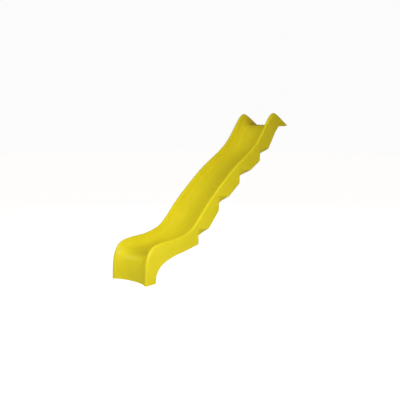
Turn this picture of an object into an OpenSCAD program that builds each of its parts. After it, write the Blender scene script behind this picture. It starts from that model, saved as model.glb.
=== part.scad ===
// Wave slide: a twin-wall moulded chute that hangs on a deck by its lip.
// The exit faces -Y, the chute climbs towards +Y, and +Z is up. The ground is z = 0.

/* [Overall size] */
// Height of the deck that the lip rests on
deck_height = 1500; // [1350:10:1600]
// Horizontal length from the exit to the end of the lip
slide_run = 2515; // [2300:5:2700]
// Outside width across the side walls
slide_width = 468; // [440:2:520]

/* [Cross section] */
// Radius of the rolled rim on each side wall
rim_radius = 20; // [16:1:22]
// Width of the flat middle of the bed
bed_flat_width = 216; // [160:4:230]
// Thickness of the upper skin: bed, rims and outer walls
upper_skin = 3.5; // [3:0.5:4]
// Thickness of the lower skin: underside and inner walls
lower_skin = 3; // [2.5:0.5:3.5]
// Depth from the bed down to the underside of the moulding
bed_depth = 26; // [20:1:30]

/* [Lip fixings] */
// Distance between the two columns of screws
screw_spacing_x = 170; // [140:5:180]
// Distance between the two rows of screws
screw_spacing_y = 80; // [60:5:80]
// Diameter of the screw shank
screw_d = 7; // [6:0.5:7]
// Length of screw that stands out below the lip
screw_reach = 45; // [30:5:60]

/* [Hidden] */
slide_yellow = [0.86, 0.80, 0.08];
steel_grey = "silver";
sleeve_grey = "dimgray";

// The guide lines are [y, z] points, drawn from the exit for these two sizes and then
// stretched to the sizes asked for.
drawn_height = 1500;
drawn_run = 2515;
stretch = [slide_run / drawn_run, deck_height / drawn_height];

// Exit nose: ridge of the rim, bed, and lower edge of the outer wall. The section turns from
// lying flat on the ground to upright, and each row of the three lists is one turn of it.
nose_ridge = [[0, 0], [6, 110], [20, 222], [72, 322], [160, 363], [290, 377], [430, 384], [560, 408]];
nose_bed = [[52, 0], [57, 100], [72, 196], [110, 240], [180, 257], [300, 263], [430, 268], [560, 285]];
nose_edge = [[130, 0], [132, 35], [141, 78], [168, 118], [225, 162], [325, 199], [430, 221], [560, 238]];
// How far the inner edge of the side wall hangs past the outer one, at each row.
nose_drop = [0, 10, 20, 26, 26, 22, 14, 12];
// How far the trough is bowed at each row: 1 is a shallow bow from rim to rim, 0 has a flat bed.
nose_bow = [1, 1, 0.85, 0.5, 0.2, 0, 0, 0];
// The side wall's edge hangs towards the back up to this row, and downwards after it.
nose_turn = 3;

// Rest of the chute, from the run-out up to the lip: ridge of the rim, and bed.
ridge_line = [[290, 377], [430, 384], [560, 408], [660, 444], [735, 498], [870, 624], [1020, 753],
    [1185, 880], [1360, 1003], [1560, 1120], [1740, 1224], [1880, 1332], [2000, 1462], [2090, 1567],
    [2152, 1627], [2208, 1652], [2278, 1638], [2385, 1590], [2462, 1550], [2515, 1520]];
bed_line = [[300, 263], [430, 268], [560, 285], [660, 315], [735, 354], [870, 461], [1020, 597],
    [1185, 730], [1360, 861], [1560, 984], [1740, 1085], [1880, 1180], [2010, 1302], [2110, 1418],
    [2165, 1476], [2215, 1506], [2270, 1515], [2330, 1515], [2515, 1515]];

// Each step in the lower edge of the side wall as [y of its riser, z of its tread, length of its tread].
steps = [[760, 427, 164], [1105, 734, 174], [1485, 1002, 218], [1900, 1239, 183]];
riser_height = 155;
riser_slant = 1;
tread_fall = 20;
// Where the lower edge leaves the nose and where it meets the deck.
run_out = nose_edge[len(nose_edge) - 1];
lip_root = [2306, 1481];
lip_start = 2325;
lip_end_start = 2480;
lip_end_rise = 8.5;
seat_height = 15;

// The inner edge of the side wall is set in from the outer one and hangs lower.
edge_inset = 36;
edge_drop = 12;
tread_drop = 88;
// The underside meets the inner wall in a rounded corner, this far in.
corner_inset = [4, 12];
underside_flat = 55;
// The trough's wall leans inwards, and a fillet takes this share of its height.
wall_lean = 11;
fillet_share = 0.7;
// The same where the trough is bowed, with half the width of its flat and the rim's share of its depth.
bow_lean = 3;
bow_fillet_share = 0.92;
bow_flat = 25;
bow_rim_share = 0.25;
web_gap = 0.3;

// Places across the section, from the middle of the chute.
half_width = slide_width / 2;
rim_centre = half_width - rim_radius;
bed_half = bed_flat_width / 2;
rim_inside = rim_centre - rim_radius;
edge_x = half_width - edge_inset;

// Lip fixings.
lip_middle = 2405;
washer_h = 2;
washer_d = 24;
shank_share = 0.9;
shank_start = 2;
head_d = 14;
head_h = 4.5;
hex_d = 6;
cap_d = 30;
cap_h = 9;
cap_wall = 2;
hole_d = screw_d + 0.4;
lip_gap = seat_height * stretch.y;
past = 1;

// Small helpers.
function unit(v) = v / norm(v);
function along(from, to, d) = from + unit(to - from) * d;
function mix(a, b, t) = a + (b - a) * max(0, min(1, t));
function spread(a, b, n) = [for (i = [0 : n - 1]) a + (b - a) * i / n];
function backwards(list) = [for (i = [len(list) - 1 : -1 : 0]) list[i]];

// A smooth curve z(y) through the points of a guide line.
function segment(line, y, i = 0) =
    i >= len(line) - 2 || y <= line[i + 1].x ? i : segment(line, y, i + 1);
function tilt(line, i) =
    let (a = max(i - 1, 0), b = min(i + 1, len(line) - 1))
    (line[b].y - line[a].y) / (line[b].x - line[a].x);
function height_on(line, y) =
    let (i = segment(line, y), w = line[i + 1].x - line[i].x, t = (y - line[i].x) / w)
    line[i].y * (1 + 2 * t) * (1 - t) * (1 - t) + line[i + 1].y * t * t * (3 - 2 * t)
    + w * tilt(line, i) * t * (1 - t) * (1 - t) - w * tilt(line, i + 1) * t * t * (1 - t);

// A smooth curve through the rows of a nose line, where u counts the rows.
function row(line, i) = i < 0 ? 2 * line[0] - line[1] : line[min(i, len(line) - 1)];
function nose_point(line, u) =
    let (i = floor(u), t = u - i, a = row(line, i - 1), b = row(line, i), c = row(line, i + 1),
        d = row(line, i + 2))
    b + t * (c - a) / 2 + t * t * (2 * a - 5 * b + 4 * c - d) / 2
    + t * t * t * (3 * b - a - 3 * c + d) / 2;
function nose_value(list, u) =
    let (i = floor(u))
    mix(list[i], list[min(i + 1, len(list) - 1)], u - i);

// Lower edge of the outer wall at one y: the nose, then a slope and a tread for each step,
// then the lip.
function steps_below(y, i = 0) = i < len(steps) && y > steps[i][0] ? steps_below(y, i + 1) : i;
function tread_tip(i) = [steps[i][0] + steps[i][2], steps[i][1] - tread_fall];
function slope_start(i) = i == 0 ? run_out : tread_tip(i - 1);
function slope_end(i) = i < len(steps) ? [steps[i][0], steps[i][1] - riser_height] : lip_root;
function tread_share(y, i) = (y - steps[i][0]) / steps[i][2];
function edge_height(y) =
    let (i = steps_below(y), a = slope_start(i), b = slope_end(i))
    y < run_out.x ? height_on(nose_edge, y)
    : y < a.x ? mix(steps[i - 1][1], a.y, tread_share(y, i - 1))
    : y < b.x || i < len(steps) ? mix(a.y, b.y, (y - a.x) / (b.x - a.x))
    : y < lip_end_start ? mix(lip_root.y, drawn_height, (y - lip_root.x) / (lip_start - lip_root.x))
    : mix(drawn_height, drawn_height + lip_end_rise, (y - lip_end_start) / (drawn_run - lip_end_start));

// How far the inner edge hangs below the outer one, and the height of the underside.
function edge_sag(y) =
    let (i = steps_below(y), a = slope_start(i))
    y < a.x && i > 0 ? mix(tread_drop, edge_drop, tread_share(y, i - 1))
    : mix(edge_drop, 0, (y - lip_root.x + 60) / 60);
function underside_height(y) =
    let (slope = tilt(bed_line, segment(bed_line, y)), depth = mix(bed_depth, seat_height, (y - 2140) / 180))
    y < lip_root.x ? min(height_on(bed_line, y) - depth * sqrt(1 + slope * slope), drawn_height)
    : edge_height(y);
function inner_edge_height(y) =
    min(edge_height(y) - edge_sag(y), underside_height(y) - (y < lip_root.x ? edge_drop / 2 : 0));

// A station is the section's guide points at one place along the chute, each as [y, z]:
// [ridge of the rim, bed, outer edge, top of that edge, inner edge, underside], and then its bow.
function nose_station(u) =
    let (r = nose_point(nose_ridge, u), b = nose_point(nose_bed, u), k = nose_point(nose_edge, u),
        hang = u < nose_turn ? [1, 0] : unit([0.7, -1]))
    [r, b, k, along(k, r, lower_skin), k + hang * nose_value(nose_drop, u), along(b, r, -bed_depth),
        nose_value(nose_bow, u)];
function chute_station(y) =
    let (ahead = edge_height(min(y + lower_skin + 0.01, drawn_run)))
    [[y, height_on(ridge_line, y)], [y, height_on(bed_line, y)], [y, edge_height(y)],
        [y, ahead + lower_skin], [y, inner_edge_height(y)], [y, underside_height(y)], 0];

// Where the stations stand: evenly on the nose and the slopes, and close together at each riser.
function riser_ys(i) =
    let (y = steps[i][0])
    [y - lower_skin - riser_slant, y - lower_skin, y, y + riser_slant];
function tread_ys(i) = spread(steps[i][0] + 30, tread_tip(i).x, 2);
function slope_ys(i) =
    let (last = i == len(steps) - 1, top = last ? 2055 : steps[i + 1][0] - 5)
    spread(tread_tip(i).x, top, last ? 1 : 4);
function step_ys(i) = concat(riser_ys(i), tread_ys(i), slope_ys(i));
chute_ys = concat(
    spread(430, 560, 3), spread(560, steps[0][0] - 5, 5),
    [for (i = [0 : len(steps) - 1]) each step_ys(i)],
    spread(2100, lip_root.x, 7),
    [lip_root.x, lip_start, 2360, 2400, 2440, lip_end_start, drawn_run]);
stations = concat(
    [for (u = spread(0, 6, 18)) nose_station(u)],
    [for (y = chute_ys) chute_station(y)]);

// Points of a section at one station, from the edge of one side wall to the edge of the other.
function at(x, p) = [x, (p.x - drawn_run / 2) * stretch.x, p.y * stretch.y];
function mirrored(half) = concat(half, backwards([for (p = half) [-p.x, p.y, p.z]]));
function upper_half(s, inset) =
    let (r = s[0], b = s[1], bow = s[6], depth = norm(r - b), up = unit(r - b),
        rim = min(rim_radius * 1.25, depth * mix(0.5, bow_rim_share, bow)), rim_foot = along(r, b, rim),
        fillet = (depth - rim) * mix(fillet_share, bow_fillet_share, bow),
        flat = mix(bed_half, bow_flat, bow), wall_foot = rim_inside - mix(wall_lean, bow_lean, bow))
    concat(
        [at(half_width - inset, s[3])],
        [for (a = [0 : 45 : 180])
            at(rim_centre + (rim_radius - inset) * cos(a), rim_foot + up * (rim - inset) * sin(a))],
        [for (a = [90 : -22.5 : 0])
            at(flat + (wall_foot - flat + inset) * sin(a),
                b + up * (fillet - (fillet + inset) * cos(a)))]);
function lower_half_outside(s) =
    let (edge = s[2], k = s[4], u = s[5])
    [at(half_width, edge), at(half_width - upper_skin, edge + (k - edge) * upper_skin / edge_inset),
        at(edge_x, k), at(edge_x - corner_inset[0], u + (k - u) / 2),
        at(edge_x - corner_inset[1], u + (k - u) * 0.12), at(bed_half + underside_flat, u)];
function lower_half_inside(s) =
    let (edge_top = s[3], k = s[4], u = s[5], lift = unit(s[0] - u) * lower_skin,
        flatness = 1 - min(1, norm(k - u) / 30))
    [at(half_width, edge_top), at(half_width - upper_skin, edge_top), at(edge_x + lower_skin, k + lift),
        at(edge_x - corner_inset[0] + lower_skin, u + (k - u) / 2 + lift * flatness),
        at(edge_x - corner_inset[1] + lower_skin * 0.6, u + (k - u) * 0.12 + lift),
        at(bed_half + underside_flat, u + lift)];

// A sheet swept through rings of points. Each ring goes along one face of the sheet and back
// along the other, and the exit end is the first ring.
function ring(face, back) = concat(mirrored(face), backwards(mirrored(back)));
function loops(ring_count, n) =
    [for (i = [0 : ring_count - 2], j = [0 : n - 1])
        let (a = i * n + j, b = i * n + (j + 1) % n, c = a + n, d = b + n)
        each [[a, b, c], [b, d, c]]];
function cap(first, n, flip) =
    [for (j = [0 : n / 2 - 2])
        let (a = first + j, b = first + j + 1, c = first + n - 1 - j, d = first + n - 2 - j)
        each flip ? [[a, c, b], [b, c, d]] : [[a, b, c], [b, d, c]]];
module sheet(rings) {
    n = len(rings[0]);
    last = (len(rings) - 1) * n;
    polyhedron([for (r = rings) each r],
        concat(loops(len(rings), n), cap(0, n, true), cap(last, n, false)), convexity = 12);
}

// Puts its children at each screw, z above the deck.
module at_screws(z) {
    y0 = (lip_middle - drawn_run / 2) * stretch.x;
    for (x = [-1, 1], y = [-1, 1])
        translate([x * screw_spacing_x / 2, y0 + y * screw_spacing_y / 2, deck_height + z])
            children();
}

// A flat-bottomed button with a domed top. A skirt carries it on below z = 0.
module button(d, h, skirt = 0) {
    intersection() {
        translate([0, 0, -skirt]) cylinder(h = h + skirt, d = d, $fn = 64);
        translate([0, 0, h - d]) sphere(r = d, $fn = 96);
    }
}

// Bed, rims and outer walls in one moulded skin.
module upper_shell() {
    color(slide_yellow) difference() {
        sheet([for (s = stations) ring(upper_half(s, 0), upper_half(s, upper_skin))]);
        at_screws(lip_gap) cylinder(h = 20, d = hole_d, center = true, $fn = 32);
    }
}

// Web that closes the hollow at the exit and stands on the ground. It grows out of the middle of
// the lower skin and stops just short of the upper one.
module foot_web() {
    s = stations[0];
    inside = lower_half_inside(s);
    outside = lower_half_outside(s);
    front = upper_half(s, upper_skin + web_gap);
    back = [for (i = [1 : len(inside) - 1]) (inside[i] + outside[i]) / 2];
    linear_extrude(lower_skin) polygon([for (p = ring(front, back)) [p.x, p.y]]);
}

// Underside and inner walls in one moulded skin, which joins the upper one at the wall's edge.
module lower_shell() {
    color(slide_yellow) {
        foot_web();
        difference() {
            sheet([for (s = stations) ring(lower_half_inside(s), lower_half_outside(s))]);
            at_screws(0) cylinder(h = 14, d = hole_d, center = true, $fn = 32);
        }
    }
}

// Tubes that keep the two skins apart at the screws.
module lip_sleeves() {
    color(sleeve_grey) at_screws(lower_skin) difference() {
        cylinder(h = lip_gap - upper_skin - lower_skin, d = screw_d * 2, $fn = 32);
        translate([0, 0, -past]) cylinder(h = lip_gap, d = hole_d, $fn = 32);
    }
}

module lip_washers() {
    color(steel_grey) at_screws(lip_gap) difference() {
        cylinder(h = washer_h, d = washer_d, $fn = 48);
        translate([0, 0, -past]) cylinder(h = washer_h + 2 * past, d = hole_d, $fn = 32);
    }
}

// Button-head screws with a hexagon socket. The plain shank is thinner than the threaded end,
// as on a rolled thread, and starts just below the lip.
module lip_screws() {
    color(steel_grey) {
        at_screws(-screw_reach) cylinder(h = screw_reach - shank_start, d = screw_d, $fn = 32);
        at_screws(-shank_start)
            cylinder(h = shank_start + lip_gap + washer_h, d = screw_d * shank_share, $fn = 32);
        at_screws(lip_gap + washer_h) difference() {
            button(head_d, head_h);
            translate([0, 0, head_h / 2]) cylinder(h = head_h, d = hex_d, $fn = 6);
        }
    }
}

// Domed covers over the screw heads.
module screw_caps() {
    color(slide_yellow) at_screws(lip_gap) difference() {
        button(cap_d, cap_h);
        button(cap_d - 2 * cap_wall, cap_h - cap_wall, past);
    }
}

upper_shell();
lower_shell();
lip_sleeves();
lip_washers();
lip_screws();
screw_caps();
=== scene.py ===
"""Wave slide: smooth moulded skins, lip fixings, light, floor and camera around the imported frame.

Lengths in the guide lines are millimetres in the part's own drawing; everything else is metres.
The slide's exit faces -Y, the chute climbs towards +Y, and +Z is up.
"""

import math

import bpy
import numpy as np
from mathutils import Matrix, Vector


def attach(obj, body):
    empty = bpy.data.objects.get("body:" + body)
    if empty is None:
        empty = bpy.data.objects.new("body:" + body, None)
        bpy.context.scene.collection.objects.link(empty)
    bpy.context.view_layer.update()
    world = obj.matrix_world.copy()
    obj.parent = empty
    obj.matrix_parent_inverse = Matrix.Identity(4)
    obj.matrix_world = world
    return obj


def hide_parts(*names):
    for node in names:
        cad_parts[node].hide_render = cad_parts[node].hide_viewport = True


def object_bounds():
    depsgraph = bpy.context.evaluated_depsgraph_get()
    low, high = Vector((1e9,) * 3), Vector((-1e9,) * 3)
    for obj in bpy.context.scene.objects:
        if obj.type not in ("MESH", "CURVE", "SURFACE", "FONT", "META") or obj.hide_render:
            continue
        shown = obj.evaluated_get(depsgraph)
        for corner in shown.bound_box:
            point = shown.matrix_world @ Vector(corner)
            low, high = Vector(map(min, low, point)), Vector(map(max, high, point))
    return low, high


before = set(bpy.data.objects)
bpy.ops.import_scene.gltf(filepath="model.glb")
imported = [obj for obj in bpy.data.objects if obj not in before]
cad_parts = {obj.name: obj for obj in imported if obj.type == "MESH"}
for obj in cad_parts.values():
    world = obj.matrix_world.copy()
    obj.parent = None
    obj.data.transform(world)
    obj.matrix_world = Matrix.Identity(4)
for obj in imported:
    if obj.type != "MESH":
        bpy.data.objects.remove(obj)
cad_low, cad_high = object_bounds()

MM = 0.001

# ---------------------------------------------------------------------------
# Camera
# ---------------------------------------------------------------------------
CAMERA_PLACE = Vector((3.487, -4.494, 1.343))
CAMERA_TURN = 39.0
CAMERA_DOWN = 6.8
CAMERA_LENS = 46.2


def make_camera():
    data = bpy.data.cameras.new("camera")
    data.lens = CAMERA_LENS
    camera = bpy.data.objects.new("camera", data)
    camera.location = CAMERA_PLACE
    camera.rotation_euler = (math.radians(90 - CAMERA_DOWN), 0, math.radians(CAMERA_TURN))
    bpy.context.collection.objects.link(camera)
    bpy.context.scene.camera = camera


# ---------------------------------------------------------------------------
# Guide lines, as in part.scad: [y, z] from the exit
# ---------------------------------------------------------------------------
DRAWN_RUN = 2515
DRAWN_PEAK = 1652

NOSE_RIDGE = [[0, 0], [6, 110], [20, 222], [72, 322], [160, 363], [290, 377]]
NOSE_BED = [[52, 0], [57, 100], [72, 196], [110, 240], [180, 257], [300, 263]]
NOSE_EDGE = [[130, 0], [132, 35], [141, 78], [168, 118], [225, 162], [325, 199], [430, 221], [560, 238]]
NOSE_DROP = [0, 10, 20, 26, 26, 22, 14]
NOSE_BOW = [1, 1, 0.85, 0.5, 0.2, 0]
RIDGE_LINE = [[430, 384], [560, 408], [660, 444], [735, 498], [870, 624], [1020, 753], [1185, 880],
              [1360, 1003], [1560, 1120], [1740, 1224], [1880, 1332], [2000, 1462], [2090, 1567],
              [2152, 1627], [2208, 1652], [2278, 1638], [2385, 1590], [2462, 1550], [2515, 1520]]
BED_LINE = [[430, 268], [560, 285], [660, 315], [735, 354], [870, 461], [1020, 597], [1185, 730],
            [1360, 861], [1560, 984], [1740, 1085], [1880, 1180], [2010, 1302], [2110, 1418],
            [2165, 1476], [2215, 1506], [2270, 1515], [2330, 1515], [2400, 1515], [2515, 1515]]
STEPS = [[760, 427, 164], [1105, 734, 174], [1485, 1002, 218], [1900, 1239, 183]]
RISER = 155
TREAD_FALL = 20
LIP_ROOT = [2306, 1481]
LIP_START = 2325
LIP_END_START = 2480
DECK = 1500
LIP_END_RISE = 8.5
EDGE_DROP = 12
TREAD_DROP = 88

# The nose's rows are counted 0, 1, 2...; the chute's count goes on evenly from its sixth row.
NOSE_ROWS = 6
RUN_OUT = 430
ROW_LENGTH = 130

# Across the section
HALF_WIDTH = 234
RIM_RADIUS = 20
RIM_HEIGHT = 25
BED_HALF = 108
# Bezier control points of the trough's side, from the rim inwards: [x, share of the height]. The first
# set is for the chute, the second for a trough that is bowed from rim to rim.
SIDE = [[194, 1], [189, 0.36], [161, 0], [108, 0]]
BOWED_SIDE = [[194, 1], [165, 0.6], [105, 0], [25, 0]]
BOWED_RIM = 0.25
EDGE_INSET = 36
BED_DEPTH = 26
LIP_DEPTH = 15
UPPER_WALL = 3.5 * MM
LOWER_WALL = 3.0 * MM
CORNER = 15
EDGE_ROUND = 5
PARTING_DEPTH = 0.7

# How far a section's ridge and bed may lag behind its edge, along the edge. More than a riser.
TRAIL = 190

# Along the slide: where the body thins towards the lip, where the inner edge is let down to the
# underside, and the last corner of the wall's edge before the lip's root.
THINNING = [2140, 2290]
UNDER_DECK = 2200
EDGE_MEETS_UNDERSIDE = 2230
EDGE_CLEARANCE = 6
ROOT_RUN = 60
ROOT_SLOPE = 0.84
ROOT_HANG = 2

# Inner corner of the underside: how far its side stands in, and where its flat begins
SIDE_INSET = 4
SIDE_BEND = 3
FLAT_MARGIN = 55
UNDERSIDE_COLUMNS = (130, 95, 60, 25)
BED_COLUMNS = (0.78, 0.55, 0.33, 0.11)

# Web under the exit
WEB_GAP = 0.3 * MM
WEB_THICKNESS = 3 * MM
WEB_TRIM = 3

# Lip fixings
LIP_MIDDLE = 2405
SCREW_X = 85
SCREW_Y = 40
SCREW_RADIUS = 3.5
SCREW_REACH = 45
SHANK_START = 2
THREAD_PITCH = 1.25
THREAD_DEPTH = 0.6
HEAD_RADIUS = 7
HEAD_HEIGHT = 4.5
HEX_FLATS = 5.2
NECK_SHARE = 0.9
SOCKET_MOUTH = 3.4
WASHER_RADIUS = 12
WASHER_HEIGHT = 2
CAP_RADIUS = 15
CAP_HEIGHT = 9
CAP_WALL = 2
DOME_EASE = 0.5
SEGMENTS = 36


def row_at(y):
    return NOSE_ROWS + (y - RUN_OUT) / ROW_LENGTH


class Guide:
    """A curve through [y, z] points that bends evenly: a natural cubic spline over the row count."""

    def __init__(self, nose, chute):
        rows = list(range(len(nose))) + [row_at(y) for y, _ in chute]
        self.u = np.array(rows, float)
        self.p = np.array(nose + chute, float)
        n = len(rows)
        h = np.diff(self.u)
        system = np.eye(n)
        right = np.zeros((n, 2))
        for i in range(1, n - 1):
            system[i, i - 1:i + 2] = h[i - 1], 2 * (h[i - 1] + h[i]), h[i]
            right[i] = 6 * ((self.p[i + 1] - self.p[i]) / h[i] - (self.p[i] - self.p[i - 1]) / h[i - 1])
        self.bend = np.linalg.solve(system, right)

    def __call__(self, u):
        u = np.clip(np.asarray(u, float), self.u[0], self.u[-1])
        i = np.clip(np.searchsorted(self.u, u, side="right") - 1, 0, len(self.u) - 2)
        h = (self.u[i + 1] - self.u[i])[..., None]
        a = (self.u[i + 1] - u)[..., None] / h
        b = 1 - a
        return (a * self.p[i] + b * self.p[i + 1]
                + ((a ** 3 - a) * self.bend[i] + (b ** 3 - b) * self.bend[i + 1]) * h ** 2 / 6)


ridge_guide = Guide(NOSE_RIDGE, RIDGE_LINE)
bed_guide = Guide(NOSE_BED, BED_LINE)
edge_guide = Guide(NOSE_EDGE[:6], NOSE_EDGE[6:])


def unit(v):
    return v / np.maximum(np.linalg.norm(v, axis=-1, keepdims=True), 1e-9)


def smoothstep(low, high, value):
    t = np.clip((value - low) / (high - low), 0, 1)
    return t * t * (3 - 2 * t)


# ---------------------------------------------------------------------------
# Stations along the slide
# ---------------------------------------------------------------------------
def edge_corners():
    """Corners of the side wall's lower edge beyond the nose, as [y, z, how far the inner edge hangs]."""
    corners = [[560, 238, EDGE_DROP]]
    for y, tread, length in STEPS:
        corners.append([y, tread - RISER, EDGE_DROP])
        corners.append([y, tread, TREAD_DROP])
        corners.append([y + length, tread - TREAD_FALL, EDGE_DROP])
    corners.append([LIP_ROOT[0] - ROOT_RUN, LIP_ROOT[1] - ROOT_RUN * ROOT_SLOPE, EDGE_DROP])
    corners.append([*LIP_ROOT, ROOT_HANG])
    corners.append([LIP_START, DECK, 0])
    corners.append([LIP_END_START, DECK, 0])
    corners.append([DRAWN_RUN, DECK + LIP_END_RISE, 0])
    return np.array(corners, float)


def straight(a, b, step):
    count = max(1, int(np.ceil(np.linalg.norm(b[:2] - a[:2]) / step)))
    return [a + (b - a) * k / count for k in range(1, count + 1)]


def rounded_path(start, corners, radius, step):
    """A path through corners, each rounded off, with close points where it turns."""
    points = [start]
    for here, following in zip(corners[:-1], corners[1:]):
        before = np.linalg.norm((here - points[-1])[:2])
        after = np.linalg.norm((following - here)[:2])
        reach = min(radius, before * 0.45, after * 0.45)
        a = here + (points[-1] - here) * reach / before
        b = here + (following - here) * reach / after
        points += straight(points[-1], a, step)
        for t in (0.2, 0.4, 0.6, 0.8, 1.0):
            points.append(a * (1 - t) ** 2 + here * 2 * t * (1 - t) + b * t ** 2)
    points += straight(points[-1], corners[-1], step)
    return np.array(points)


def trail(path, reach):
    """Mean y over the stretch of path just passed.

    It goes on moving uphill while the edge climbs a riser, and it never overtakes the edge. The
    stretch shrinks to nothing towards the first point and towards the root of the lip.
    """
    steps = np.linalg.norm(np.diff(path[:, :2], axis=0), axis=1)
    length = np.concatenate([[0], np.cumsum(steps)])
    to_lip = np.interp(LIP_ROOT[0], path[:, 0], length) - length
    window = np.minimum(reach, np.maximum(np.minimum(length, to_lip), 0))
    places = length[:, None] - window[:, None] * np.linspace(0, 1, 41)[None, :]
    return np.interp(places, length, path[:, 0]).mean(axis=1)


def underside(u):
    """The lower skin's flat face under the bed."""
    bed = bed_guide(u)
    ahead = unit(bed_guide(u + 0.02) - bed_guide(u - 0.02))
    away = np.stack([ahead[:, 1], -ahead[:, 0]], axis=1)
    depth = BED_DEPTH + (LIP_DEPTH - BED_DEPTH) * smoothstep(*THINNING, bed[:, 0])
    face = bed + away * depth[:, None]
    lip = bed[:, 0] > UNDER_DECK
    face[lip, 1] = np.minimum(face[lip, 1], DECK)
    return face


def build_stations():
    """Guide points [y, z] of every section: ridge, bed, outer edge, inner edge and underside."""
    nose_u = np.linspace(0, NOSE_ROWS, 73)[:-1]
    nose_edge = edge_guide(nose_u)
    drop = np.interp(nose_u, range(len(NOSE_DROP)), NOSE_DROP)
    turn = smoothstep(2.2, 3.6, nose_u) * 0.96
    hang = np.stack([np.cos(turn), -np.sin(turn)], axis=1)
    nose_inner = nose_edge + hang * drop[:, None]

    start = np.array([*edge_guide(np.array([NOSE_ROWS]))[0], NOSE_DROP[-1]])
    path = rounded_path(start, edge_corners(), CORNER, 11)
    chute_u = row_at(trail(path, TRAIL))
    below = underside(row_at(path[:, 0]))
    clearance = EDGE_CLEARANCE * (1 - smoothstep(EDGE_MEETS_UNDERSIDE, LIP_ROOT[0], path[:, 0]))
    limit = below[:, 1] - clearance
    chute_inner = np.stack([path[:, 0], np.minimum(path[:, 1] - path[:, 2], limit)], axis=1)

    u = np.concatenate([nose_u, chute_u])
    edge = np.concatenate([nose_edge, path[:, :2]])
    inner = np.concatenate([nose_inner, chute_inner])
    flat = underside(u)
    lip = u > row_at(LIP_ROOT[0] - 4)
    flat[lip, 1] = np.maximum(edge[lip, 1], LIP_ROOT[1])
    bow = np.interp(u, range(len(NOSE_BOW)), NOSE_BOW)
    return ridge_guide(u), bed_guide(u), edge, inner, flat, bow[:, None]


ridge, bed, edge, inner_edge, flat_below, bow = build_stations()
up = unit(ridge - bed)
depth = np.linalg.norm(ridge - bed, axis=1)[:, None]
rim = np.minimum(RIM_HEIGHT, depth * (0.5 + (BOWED_RIM - 0.5) * bow))
rim_foot = ridge - up * rim
wall = unit(rim_foot - edge)


# ---------------------------------------------------------------------------
# Sections: one half, from the outer edge to the middle
# ---------------------------------------------------------------------------
def place(x, yz):
    """Points at x (mm) and [y, z] of the drawing, in the frame, stretched to the CAD model's size."""
    size = cad_high - cad_low
    y = (yz[:, 0] / DRAWN_RUN - 0.5) * size.y
    z = yz[:, 1] / DRAWN_PEAK * size.z
    return np.stack([x * MM * np.ones(len(y)), y, z], axis=1)


def edge_turn(angle):
    """Points round the outer edge: 0 is on the wall, 90 on the facet. The parting line is at 45."""
    a = math.radians(angle)
    radius = EDGE_ROUND - (PARTING_DEPTH if angle == 45 else 0)
    return HALF_WIDTH - EDGE_ROUND + radius * math.cos(a), EDGE_ROUND - radius * math.sin(a)


def upper_half():
    columns = []
    for angle in (45, 39, 26, 13, 0):
        x, lift = edge_turn(angle)
        columns.append(place(x, edge + wall * lift))
    start = edge + wall * EDGE_ROUND
    for t in np.linspace(0, 1, 9)[1:-1]:
        columns.append(place(HALF_WIDTH, start + (rim_foot - start) * t))
    for angle in np.linspace(0, 180, 17):
        a = math.radians(angle)
        x = HALF_WIDTH - RIM_RADIUS + RIM_RADIUS * math.cos(a)
        columns.append(place(x, rim_foot + up * rim * math.sin(a)))
    for t in np.linspace(0, 1, 15)[1:]:
        w = np.array([(1 - t) ** 3, 3 * t * (1 - t) ** 2, 3 * t * t * (1 - t), t ** 3])
        x, share = w @ np.array(SIDE)
        bowed_x, bowed_share = w @ np.array(BOWED_SIDE)
        x = x + (bowed_x - x) * bow[:, 0]
        share = share + (bowed_share - share) * bow
        columns.append(place(x, bed + up * (depth - rim) * share))
    for share in BED_COLUMNS:
        columns.append(place((BED_HALF + (BOWED_SIDE[-1][0] - BED_HALF) * bow[:, 0]) * share, bed))
    return np.stack(columns, axis=1)


def lower_half():
    columns = []
    for angle in (45, 51, 64, 77, 90):
        x, lift = edge_turn(angle)
        columns.append((x, edge + wall * lift))
    near_x, near = columns[-1]
    corner_x = HALF_WIDTH - EDGE_INSET
    for t in (0.2, 0.4, 0.6, 0.8, 0.92):
        columns.append((near_x + (corner_x - near_x) * t, near + (inner_edge - near) * t))
    side_x = corner_x - SIDE_INSET
    middle = flat_below + (inner_edge - flat_below) * 0.5
    a_x, a = columns[-1]
    for t in (0.25, 0.5, 0.75, 1.0):
        w = np.array([(1 - t) ** 2, 2 * t * (1 - t), t * t])
        columns.append((w @ [a_x, corner_x, side_x], w[0] * a + w[1] * inner_edge + w[2] * middle))
    for t in np.linspace(0, 1, 7)[1:]:
        w = np.array([(1 - t) ** 2, 2 * t * (1 - t), t * t])
        columns.append((w @ [side_x, side_x - SIDE_BEND, BED_HALF + FLAT_MARGIN],
                        w[0] * middle + (w[1] + w[2]) * flat_below))
    for x in UNDERSIDE_COLUMNS:
        columns.append((x, flat_below))
    return np.stack([place(x, yz) for x, yz in columns], axis=1)


def whole(half):
    """Both halves as one sheet, from the left edge to the right one."""
    left = half * np.array([-1, 1, 1])
    return np.concatenate([left, half[:, ::-1]], axis=1)


# ---------------------------------------------------------------------------
# Meshes
# ---------------------------------------------------------------------------
def mesh_piece(name, points, faces, material, slot, sharp=40):
    mesh = bpy.data.meshes.new(name)
    mesh.from_pydata([tuple(p) for p in points], [], faces)
    mesh.validate()
    mesh.polygons.foreach_set("use_smooth", [True] * len(mesh.polygons))
    mesh.set_sharp_from_angle(angle=math.radians(sharp))
    mesh.materials.append(material)
    piece = bpy.data.objects.new(name, mesh)
    bpy.context.collection.objects.link(piece)
    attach(piece, "root")
    return piece


def moved_in(sheet, depth):
    """The same sheet, moved inwards along its normals, and kept above the ground."""
    normal = unit(np.cross(np.gradient(sheet, axis=1), np.gradient(sheet, axis=0)))
    moved = sheet - normal * depth
    moved[..., 2] = np.maximum(moved[..., 2], 0)
    return moved


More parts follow.
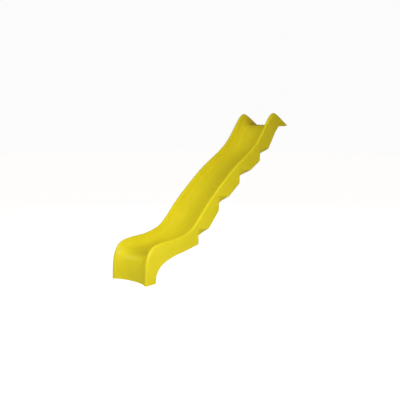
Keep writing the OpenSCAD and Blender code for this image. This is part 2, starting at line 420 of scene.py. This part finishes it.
def closed_wall(sheet, wall):
    """The sheet, the same sheet moved inwards by the wall, and the rim that closes them."""
    rows, cols = sheet.shape[:2]
    points = np.concatenate([sheet.reshape(-1, 3), moved_in(sheet, wall).reshape(-1, 3)])
    index = np.arange(rows * cols).reshape(rows, cols)
    back = index + rows * cols
    faces = []
    for i in range(rows - 1):
        for j in range(cols - 1):
            a, b, c, d = index[i, j], index[i, j + 1], index[i + 1, j + 1], index[i + 1, j]
            faces.append((a, b, c, d))
            faces.append(tuple(v + rows * cols for v in (d, c, b, a)))
    border = ([(0, j) for j in range(cols - 1)] + [(i, cols - 1) for i in range(rows - 1)]
              + [(rows - 1, j) for j in range(cols - 1, 0, -1)] + [(i, 0) for i in range(rows - 1, 0, -1)])
    for (i, j), (k, l) in zip(border, border[1:] + border[:1]):
        faces.append((index[k, l], index[i, j], back[i, j], back[k, l]))
    return points, [tuple(int(v) for v in f) for f in faces]


def slab(outline, thickness):
    """A flat plate that stands on z = 0, from the points of its outline."""
    n = len(outline)
    low = np.array([(x, y, 0) for x, y, _ in outline])
    points = np.concatenate([low, low + np.array([0, 0, thickness])])
    faces = [tuple(range(n))[::-1], tuple(range(n, 2 * n))]
    faces += [(i, (i + 1) % n, (i + 1) % n + n, i + n) for i in range(n)]
    return points, faces


def joined(parts):
    """Several closed meshes in one."""
    points = []
    faces = []
    for part_points, part_faces in parts:
        start = len(points)
        points += [tuple(p) for p in part_points]
        faces += [tuple(v + start for v in face) for face in part_faces]
    return points, faces


# ---------------------------------------------------------------------------
# Materials
# ---------------------------------------------------------------------------
def new_material(name):
    material = bpy.data.materials.new(name)
    material.use_nodes = True
    nodes = material.node_tree.nodes
    return material, nodes, material.node_tree.links, nodes["Principled BSDF"]


SLIDE_YELLOW = (0.74, 0.645, 0.016)
PLASTIC_SPECULAR = 0.22


def moulded_plastic(name, colour, roughness):
    material, nodes, links, shader = new_material(name)
    coords = nodes.new("ShaderNodeTexCoord")
    broad = nodes.new("ShaderNodeTexNoise")
    broad.inputs["Scale"].default_value = 5.0
    broad.inputs["Detail"].default_value = 3.0
    links.new(coords.outputs["Object"], broad.inputs["Vector"])
    ramp = nodes.new("ShaderNodeValToRGB")
    ramp.color_ramp.elements[0].position = 0.3
    ramp.color_ramp.elements[1].position = 0.7
    ramp.color_ramp.elements[0].color = (*[c * 0.955 for c in colour], 1)
    ramp.color_ramp.elements[1].color = (*colour, 1)
    links.new(broad.outputs["Fac"], ramp.inputs["Fac"])
    links.new(ramp.outputs["Color"], shader.inputs["Base Color"])

    grain = nodes.new("ShaderNodeTexNoise")
    grain.inputs["Scale"].default_value = 420.0
    grain.inputs["Detail"].default_value = 2.0
    links.new(coords.outputs["Object"], grain.inputs["Vector"])
    rough = nodes.new("ShaderNodeMapRange")
    rough.inputs["To Min"].default_value = roughness - 0.05
    rough.inputs["To Max"].default_value = roughness + 0.07
    links.new(broad.outputs["Fac"], rough.inputs["Value"])
    links.new(rough.outputs["Result"], shader.inputs["Roughness"])
    bump = nodes.new("ShaderNodeBump")
    bump.inputs["Strength"].default_value = 0.12
    bump.inputs["Distance"].default_value = 0.0004
    links.new(grain.outputs["Fac"], bump.inputs["Height"])
    links.new(bump.outputs["Normal"], shader.inputs["Normal"])
    shader.inputs["Specular IOR Level"].default_value = PLASTIC_SPECULAR
    return material


def zinc(name):
    material, nodes, links, shader = new_material(name)
    coords = nodes.new("ShaderNodeTexCoord")
    noise = nodes.new("ShaderNodeTexNoise")
    noise.inputs["Scale"].default_value = 300.0
    links.new(coords.outputs["Object"], noise.inputs["Vector"])
    rough = nodes.new("ShaderNodeMapRange")
    rough.inputs["To Min"].default_value = 0.25
    rough.inputs["To Max"].default_value = 0.4
    links.new(noise.outputs["Fac"], rough.inputs["Value"])
    links.new(rough.outputs["Result"], shader.inputs["Roughness"])
    shader.inputs["Base Color"].default_value = (0.62, 0.63, 0.65, 1)
    shader.inputs["Metallic"].default_value = 1.0
    return material


yellow = moulded_plastic("slide_plastic", SLIDE_YELLOW, 0.42)
black = moulded_plastic("sleeve_plastic", (0.02, 0.02, 0.022), 0.5)
steel = zinc("screw_steel")


# ---------------------------------------------------------------------------
# The slide
# ---------------------------------------------------------------------------
upper_sheet = whole(upper_half())
points, faces = closed_wall(upper_sheet, UPPER_WALL)
upper_skin = mesh_piece("upper_skin", points, faces, yellow, "slide_plastic")
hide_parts("upper_shell")

# The web closes the hollow at the exit. It grows out of the lower skin and stops short of the upper one.
lower_sheet = whole(lower_half())[:, ::-1]
web_front = moved_in(upper_sheet, UPPER_WALL + WEB_GAP)[0, WEB_TRIM:-WEB_TRIM]
web_back = moved_in(lower_sheet, LOWER_WALL / 2)[0, WEB_TRIM:-WEB_TRIM]
web = slab(np.concatenate([web_front, web_back]), WEB_THICKNESS)
points, faces = joined([closed_wall(lower_sheet, LOWER_WALL), web])
lower_skin = mesh_piece("lower_skin", points, faces, yellow, "slide_plastic")
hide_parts("lower_shell")


# ---------------------------------------------------------------------------
# Lip fixings, turned round Z. Rings are [radius, height above the deck] in millimetres.
# ---------------------------------------------------------------------------
ANGLES = np.linspace(0, 360, SEGMENTS, endpoint=False)


def turned(rings, closed=False):
    """A solid through rings, from the bottom up on its outside. A closed one is a tube."""
    turn = np.radians(ANGLES)
    points = []
    for radius, z in rings:
        radius = radius * np.ones(SEGMENTS)
        points += [(r * math.cos(t), r * math.sin(t), z) for r, t in zip(radius, turn)]
    faces = []
    last = len(rings) - 1
    for k in range(len(rings) if closed else last):
        low = k * SEGMENTS
        high = (k + 1) % len(rings) * SEGMENTS
        for i in range(SEGMENTS):
            j = (i + 1) % SEGMENTS
            faces.append((low + i, low + j, high + j, high + i))
    if not closed:
        faces.append(tuple(range(SEGMENTS))[::-1])
        faces.append(tuple(range(last * SEGMENTS, (last + 1) * SEGMENTS)))
    return np.array(points), faces


def dome(radius, top, bend, low):
    """Rings up the outside of a domed button, from its wall at height low."""
    rings = [(radius, low)]
    for share in (1, 0.97, 0.9, 0.8, 0.65, 0.5, 0.35, 0.2, 0.06):
        r = radius * share
        rings.append((r, top - bend + math.sqrt(bend * bend - r * r) - DOME_EASE * share ** 12))
    return rings


def screw_rings():
    rings = []
    for z in np.arange(-SCREW_REACH, -SHANK_START, THREAD_PITCH / 6):
        phase = (z / THREAD_PITCH - ANGLES / 360) % 1
        crest = np.abs(2 * phase - 1)
        depth = THREAD_DEPTH * min(1, (-SHANK_START - z) / THREAD_PITCH)
        tip = SCREW_RADIUS - 1 + z + SCREW_REACH
        rings.append((np.minimum(SCREW_RADIUS - depth * crest, tip), z))
    neck = SCREW_RADIUS * NECK_SHARE
    head = LIP_DEPTH + WASHER_HEIGHT
    hexagon = HEX_FLATS / 2 / np.cos(np.radians(ANGLES % 60 - 30))
    rings += [(SCREW_RADIUS, -SHANK_START), (neck, -SHANK_START), (neck, head)]
    button = dome(HEAD_RADIUS, head + HEAD_HEIGHT, 2 * HEAD_RADIUS, head)
    rings += [ring for ring in button if ring[0] > SOCKET_MOUTH]
    top = rings[-1][1]
    rings += [(hexagon + 0.2, top + 0.05), (hexagon, top - 0.15), (hexagon, head + HEAD_HEIGHT / 2)]
    return rings


def cap_rings():
    inner = dome(CAP_RADIUS - CAP_WALL, LIP_DEPTH + CAP_HEIGHT - CAP_WALL, 2 * CAP_RADIUS, LIP_DEPTH)
    outer = dome(CAP_RADIUS, LIP_DEPTH + CAP_HEIGHT, 2 * CAP_RADIUS, LIP_DEPTH)
    return inner[::-1] + outer


def tube_rings(inner, outer, low, high, chamfer):
    """A tube's cross-section, with all four of its edges chamfered."""
    return [(inner, low + chamfer), (inner + chamfer, low),
            (outer - chamfer, low), (outer, low + chamfer),
            (outer, high - chamfer), (outer - chamfer, high),
            (inner + chamfer, high), (inner, high - chamfer)]


def fixing(name, rings, material, slot, node, closed=False):
    """One copy of a turned solid at each screw, as one piece that stands in for a CAD node."""
    points, faces = turned(rings, closed)
    centre = (cad_low + cad_high) / 2
    y_lip = centre.y + (LIP_MIDDLE / DRAWN_RUN - 0.5) * (cad_high.y - cad_low.y)
    copies = []
    for x in (-SCREW_X, SCREW_X):
        for y in (-SCREW_Y, SCREW_Y):
            shift = np.array([x, y, DECK]) * MM + np.array([centre.x, y_lip, 0])
            copies.append((points * MM + shift, faces))
    piece = mesh_piece(name, *joined(copies), material, slot)
    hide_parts(node)


SHANK_HOLE = SCREW_RADIUS + 0.2
SLEEVE_LOW = LOWER_WALL / MM
SLEEVE_HIGH = LIP_DEPTH - UPPER_WALL / MM
WASHER_TOP = LIP_DEPTH + WASHER_HEIGHT
sleeve = tube_rings(SHANK_HOLE, 2 * SCREW_RADIUS, SLEEVE_LOW, SLEEVE_HIGH, 0.5)
washer = tube_rings(SHANK_HOLE, WASHER_RADIUS, LIP_DEPTH, WASHER_TOP, 0.3)
fixing("sleeves", sleeve, black, "sleeve_plastic", "lip_sleeves", closed=True)
fixing("washers", washer, steel, "screw_steel", "lip_washers", closed=True)
fixing("screws", screw_rings(), steel, "screw_steel", "lip_screws")
fixing("caps", cap_rings(), yellow, "slide_plastic", "screw_caps")


# ---------------------------------------------------------------------------
# Floor, light and camera
# ---------------------------------------------------------------------------
FLOOR_REACH = 40
FLOOR_PALE = 0.2
FLOOR_BOUNCE = 0.5
FLOOR_GLOW = 0.95
AMBIENT = 0.2
AMBIENT_COLOUR = (1.0, 0.72, 0.6)
BACKDROP = 0.97
SOFTBOX_SIZE = 1.2
NEUTRAL = (1.0, 1.0, 0.92)
COOL = (0.92, 1.0, 0.9)


def seen_or_lit(nodes):
    """1 where the camera looks straight at the floor or the world, 0 where they light the slide."""
    return nodes.new("ShaderNodeLightPath").outputs["Is Camera Ray"]


def make_floor():
    mesh = bpy.data.meshes.new("floor")
    r = FLOOR_REACH
    mesh.from_pydata([(-r, -r, 0), (r, -r, 0), (r, r, 0), (-r, r, 0)], [], [(0, 1, 2, 3)])
    floor = bpy.data.objects.new("floor", mesh)
    bpy.context.collection.objects.link(floor)
    material, nodes, links, shader = new_material("floor")
    shader.inputs["Roughness"].default_value = 0.9
    shader.inputs["Specular IOR Level"].default_value = 0.0
    shade = nodes.new("ShaderNodeMapRange")
    shade.inputs["To Min"].default_value = FLOOR_BOUNCE
    shade.inputs["To Max"].default_value = FLOOR_PALE
    links.new(seen_or_lit(nodes), shade.inputs["Value"])
    links.new(shade.outputs["Result"], shader.inputs["Base Color"])
    shader.inputs["Emission Color"].default_value = (1, 1, 1, 1)
    glow = nodes.new("ShaderNodeMath")
    glow.operation = "MULTIPLY"
    glow.inputs[1].default_value = FLOOR_GLOW
    links.new(seen_or_lit(nodes), glow.inputs[0])
    links.new(glow.outputs["Value"], shader.inputs["Emission Strength"])
    mesh.materials.append(material)


def softbox(name, turn, rise, distance, aim, power, colour=NEUTRAL):
    """A round soft light. Turn 0 is in front of the exit, 90 is on the right; rise is its height."""
    data = bpy.data.lights.new(name, "AREA")
    data.shape = "DISK"
    data.size = SOFTBOX_SIZE
    data.energy = power
    data.color = colour
    light = bpy.data.objects.new(name, data)
    turn = math.radians(turn)
    rise = math.radians(rise)
    away = Vector((math.sin(turn) * math.cos(rise), -math.cos(turn) * math.cos(rise), math.sin(rise)))
    light.location = aim + away * distance
    light.rotation_euler = away.to_track_quat("Z", "Y").to_euler()
    bpy.context.collection.objects.link(light)


def make_light():
    world = bpy.data.worlds.new("studio")
    bpy.context.scene.world = world
    world.use_nodes = True
    nodes, links = world.node_tree.nodes, world.node_tree.links
    background = nodes["Background"]
    tint = nodes.new("ShaderNodeMixRGB")
    tint.inputs["Color1"].default_value = (*AMBIENT_COLOUR, 1)
    tint.inputs["Color2"].default_value = (1, 1, 1, 1)
    links.new(seen_or_lit(nodes), tint.inputs["Fac"])
    links.new(tint.outputs["Color"], background.inputs["Color"])
    strength = nodes.new("ShaderNodeMapRange")
    strength.inputs["To Min"].default_value = AMBIENT
    strength.inputs["To Max"].default_value = BACKDROP
    links.new(seen_or_lit(nodes), strength.inputs["Value"])
    links.new(strength.outputs["Result"], background.inputs["Strength"])
    middle = (cad_low + cad_high) / 2
    exit_end = Vector((0, -0.9, 0.3))
    softbox("key", 30, 18, 4.6, middle, 88)
    softbox("right", 64, 14, 4.6, middle, 42)
    softbox("left", -30, 26, 4.6, middle, 48, COOL)
    softbox("top", 0, 80, 4.6, middle, 8)
    softbox("exit_side", 92, 20, 2.8, exit_end, 18)
    softbox("back", 215, 8, 4.6, middle, 80)


make_floor()
make_light()
make_camera()
bpy.context.scene.view_settings.view_transform = "Standard"
